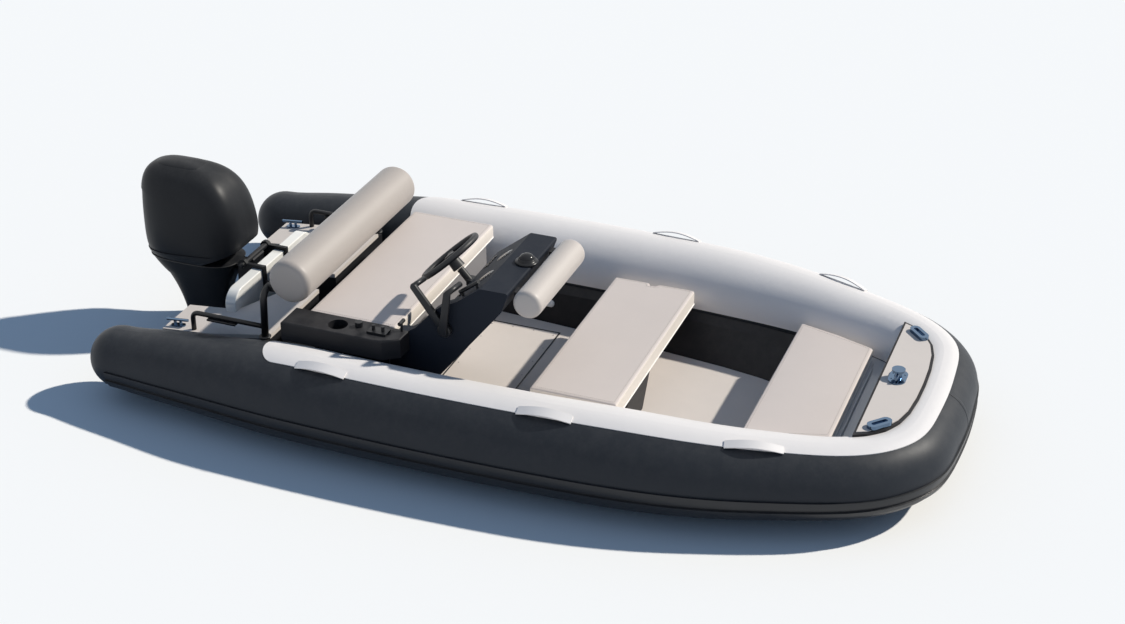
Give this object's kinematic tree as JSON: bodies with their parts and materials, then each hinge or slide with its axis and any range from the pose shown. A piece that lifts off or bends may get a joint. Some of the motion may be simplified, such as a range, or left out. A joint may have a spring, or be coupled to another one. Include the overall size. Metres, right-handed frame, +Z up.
{
  "type": "inflatable rib boat with outboard engine",
  "caption": "Rigid inflatable tender with side helm console, bench, bow seat, backrest roll and tilting outboard engine.",
  "frame": {"origin": "on the waterline, on the centre plane, at mid-length of the hull and engine", "axes": "+X towards the bow, +Y to port, +Z up"},
  "size_m": [4.0212, 2.0658, 1.3397],
  "materials": {
    "moulding_dark": "gelcoat, satin",
    "deck_foam": "closed-cell foam deck, fine grooves",
    "tube_charcoal": "satin coated fabric",
    "metal_black": "powder coat, semi-gloss",
    "vinyl_cream": "marine vinyl, soft grain",
    "gelcoat_grey": "gelcoat, satin",
    "stainless": "polished",
    "engine_casting": "painted casting, satin",
    "instrument_black": "glossy",
    "cowl_black": "painted, satin",
    "engine_iron": "rough",
    "tube_white": "satin coated fabric",
    "gelcoat_white": "gelcoat, glossy",
    "prop_metal": "semi-gloss",
    "strake_black": "moulded rubber, satin",
    "wheel_black": "soft-touch, satin"
  },
  "bodies": {
    "boat": {"aft_deck": "moulding_dark", "aft_deck_pads": "deck_foam", "air_tube": "tube_charcoal", "backrest_rails": "metal_black", "backrest_roll": "vinyl_cream", "bench_base": "moulding_dark", "bench_cushion": "vinyl_cream", "bench_front_panel": "gelcoat_grey", "bolster_bracket": "moulding_dark", "bow_cleat": "stainless", "bow_fairleads": "stainless", "bow_locker_base": "gelcoat_grey", "bow_step_moulding": "moulding_dark", "bow_step_pad": "deck_foam", "clamp_bracket": "engine_casting", "cockpit_floor": "deck_foam", "cockpit_liner": "moulding_dark", "compass": "instrument_black", "console_bolster": "vinyl_cream", "console_grab_rail": "metal_black", "floor_access_panel": "deck_foam", "grab_handles": "tube_white", "helm_console": "moulding_dark", "hull_bottom": "gelcoat_white", "mid_seat_cushion": "vinyl_cream", "mid_seat_pedestal": "moulding_dark", "rub_strake": "strake_black", "shelf_fittings": "metal_black", "side_shelf": "moulding_dark", "steering_column": "metal_black", "stern_cleats": "stainless", "throttle_levers": "metal_black", "tow_eyes": "stainless", "transom_board": "gelcoat_white", "tube_skin": "tube_white"},
    "swivel": {"swivel_bracket": "engine_casting"},
    "engine": {"engine_cowl": "cowl_black", "engine_powerhead": "engine_iron", "engine_pan": "engine_casting", "engine_midsection": "engine_casting", "gearcase": "engine_casting"},
    "propeller": {"propeller": "prop_metal"},
    "steering_wheel": {"steering_wheel": "wheel_black"},
    "bow_lid": {"bow_locker_lid": "gelcoat_grey", "bow_seat_cushion": "vinyl_cream"}
  },
  "joints": [
    {"name": "engine_tilt", "type": "hinge", "parent": "boat", "child": "swivel", "pos_m": [-1.53, 0, 0.398], "axis": [0, 1, 0], "range_deg": [0, 60]},
    {"name": "engine_steer", "type": "hinge", "parent": "swivel", "child": "engine", "pos_m": [-1.6, 0, 0.2], "axis": [0, 0, 1], "range_deg": [-32, 32]},
    {"name": "propeller_spin", "type": "hinge", "parent": "engine", "child": "propeller", "pos_m": [-2.022, 0, -0.325], "axis": [1, 0, 0], "continuous": true},
    {"name": "wheel_turn", "type": "hinge", "parent": "boat", "child": "steering_wheel", "pos_m": [-0.378, -0.268, 0.727], "axis": [0.6691, 0, -0.7431], "range_deg": [-500, 500]},
    {"name": "bow_lid_hinge", "type": "hinge", "parent": "boat", "child": "bow_lid", "pos_m": [1.412, 0, 0.2122], "axis": [0, 1, 0], "range_deg": [0, 75]}
  ],
  "couplings": [
    {"joint": "wheel_turn", "follows": "engine_steer", "ratio": 15}
  ]
}
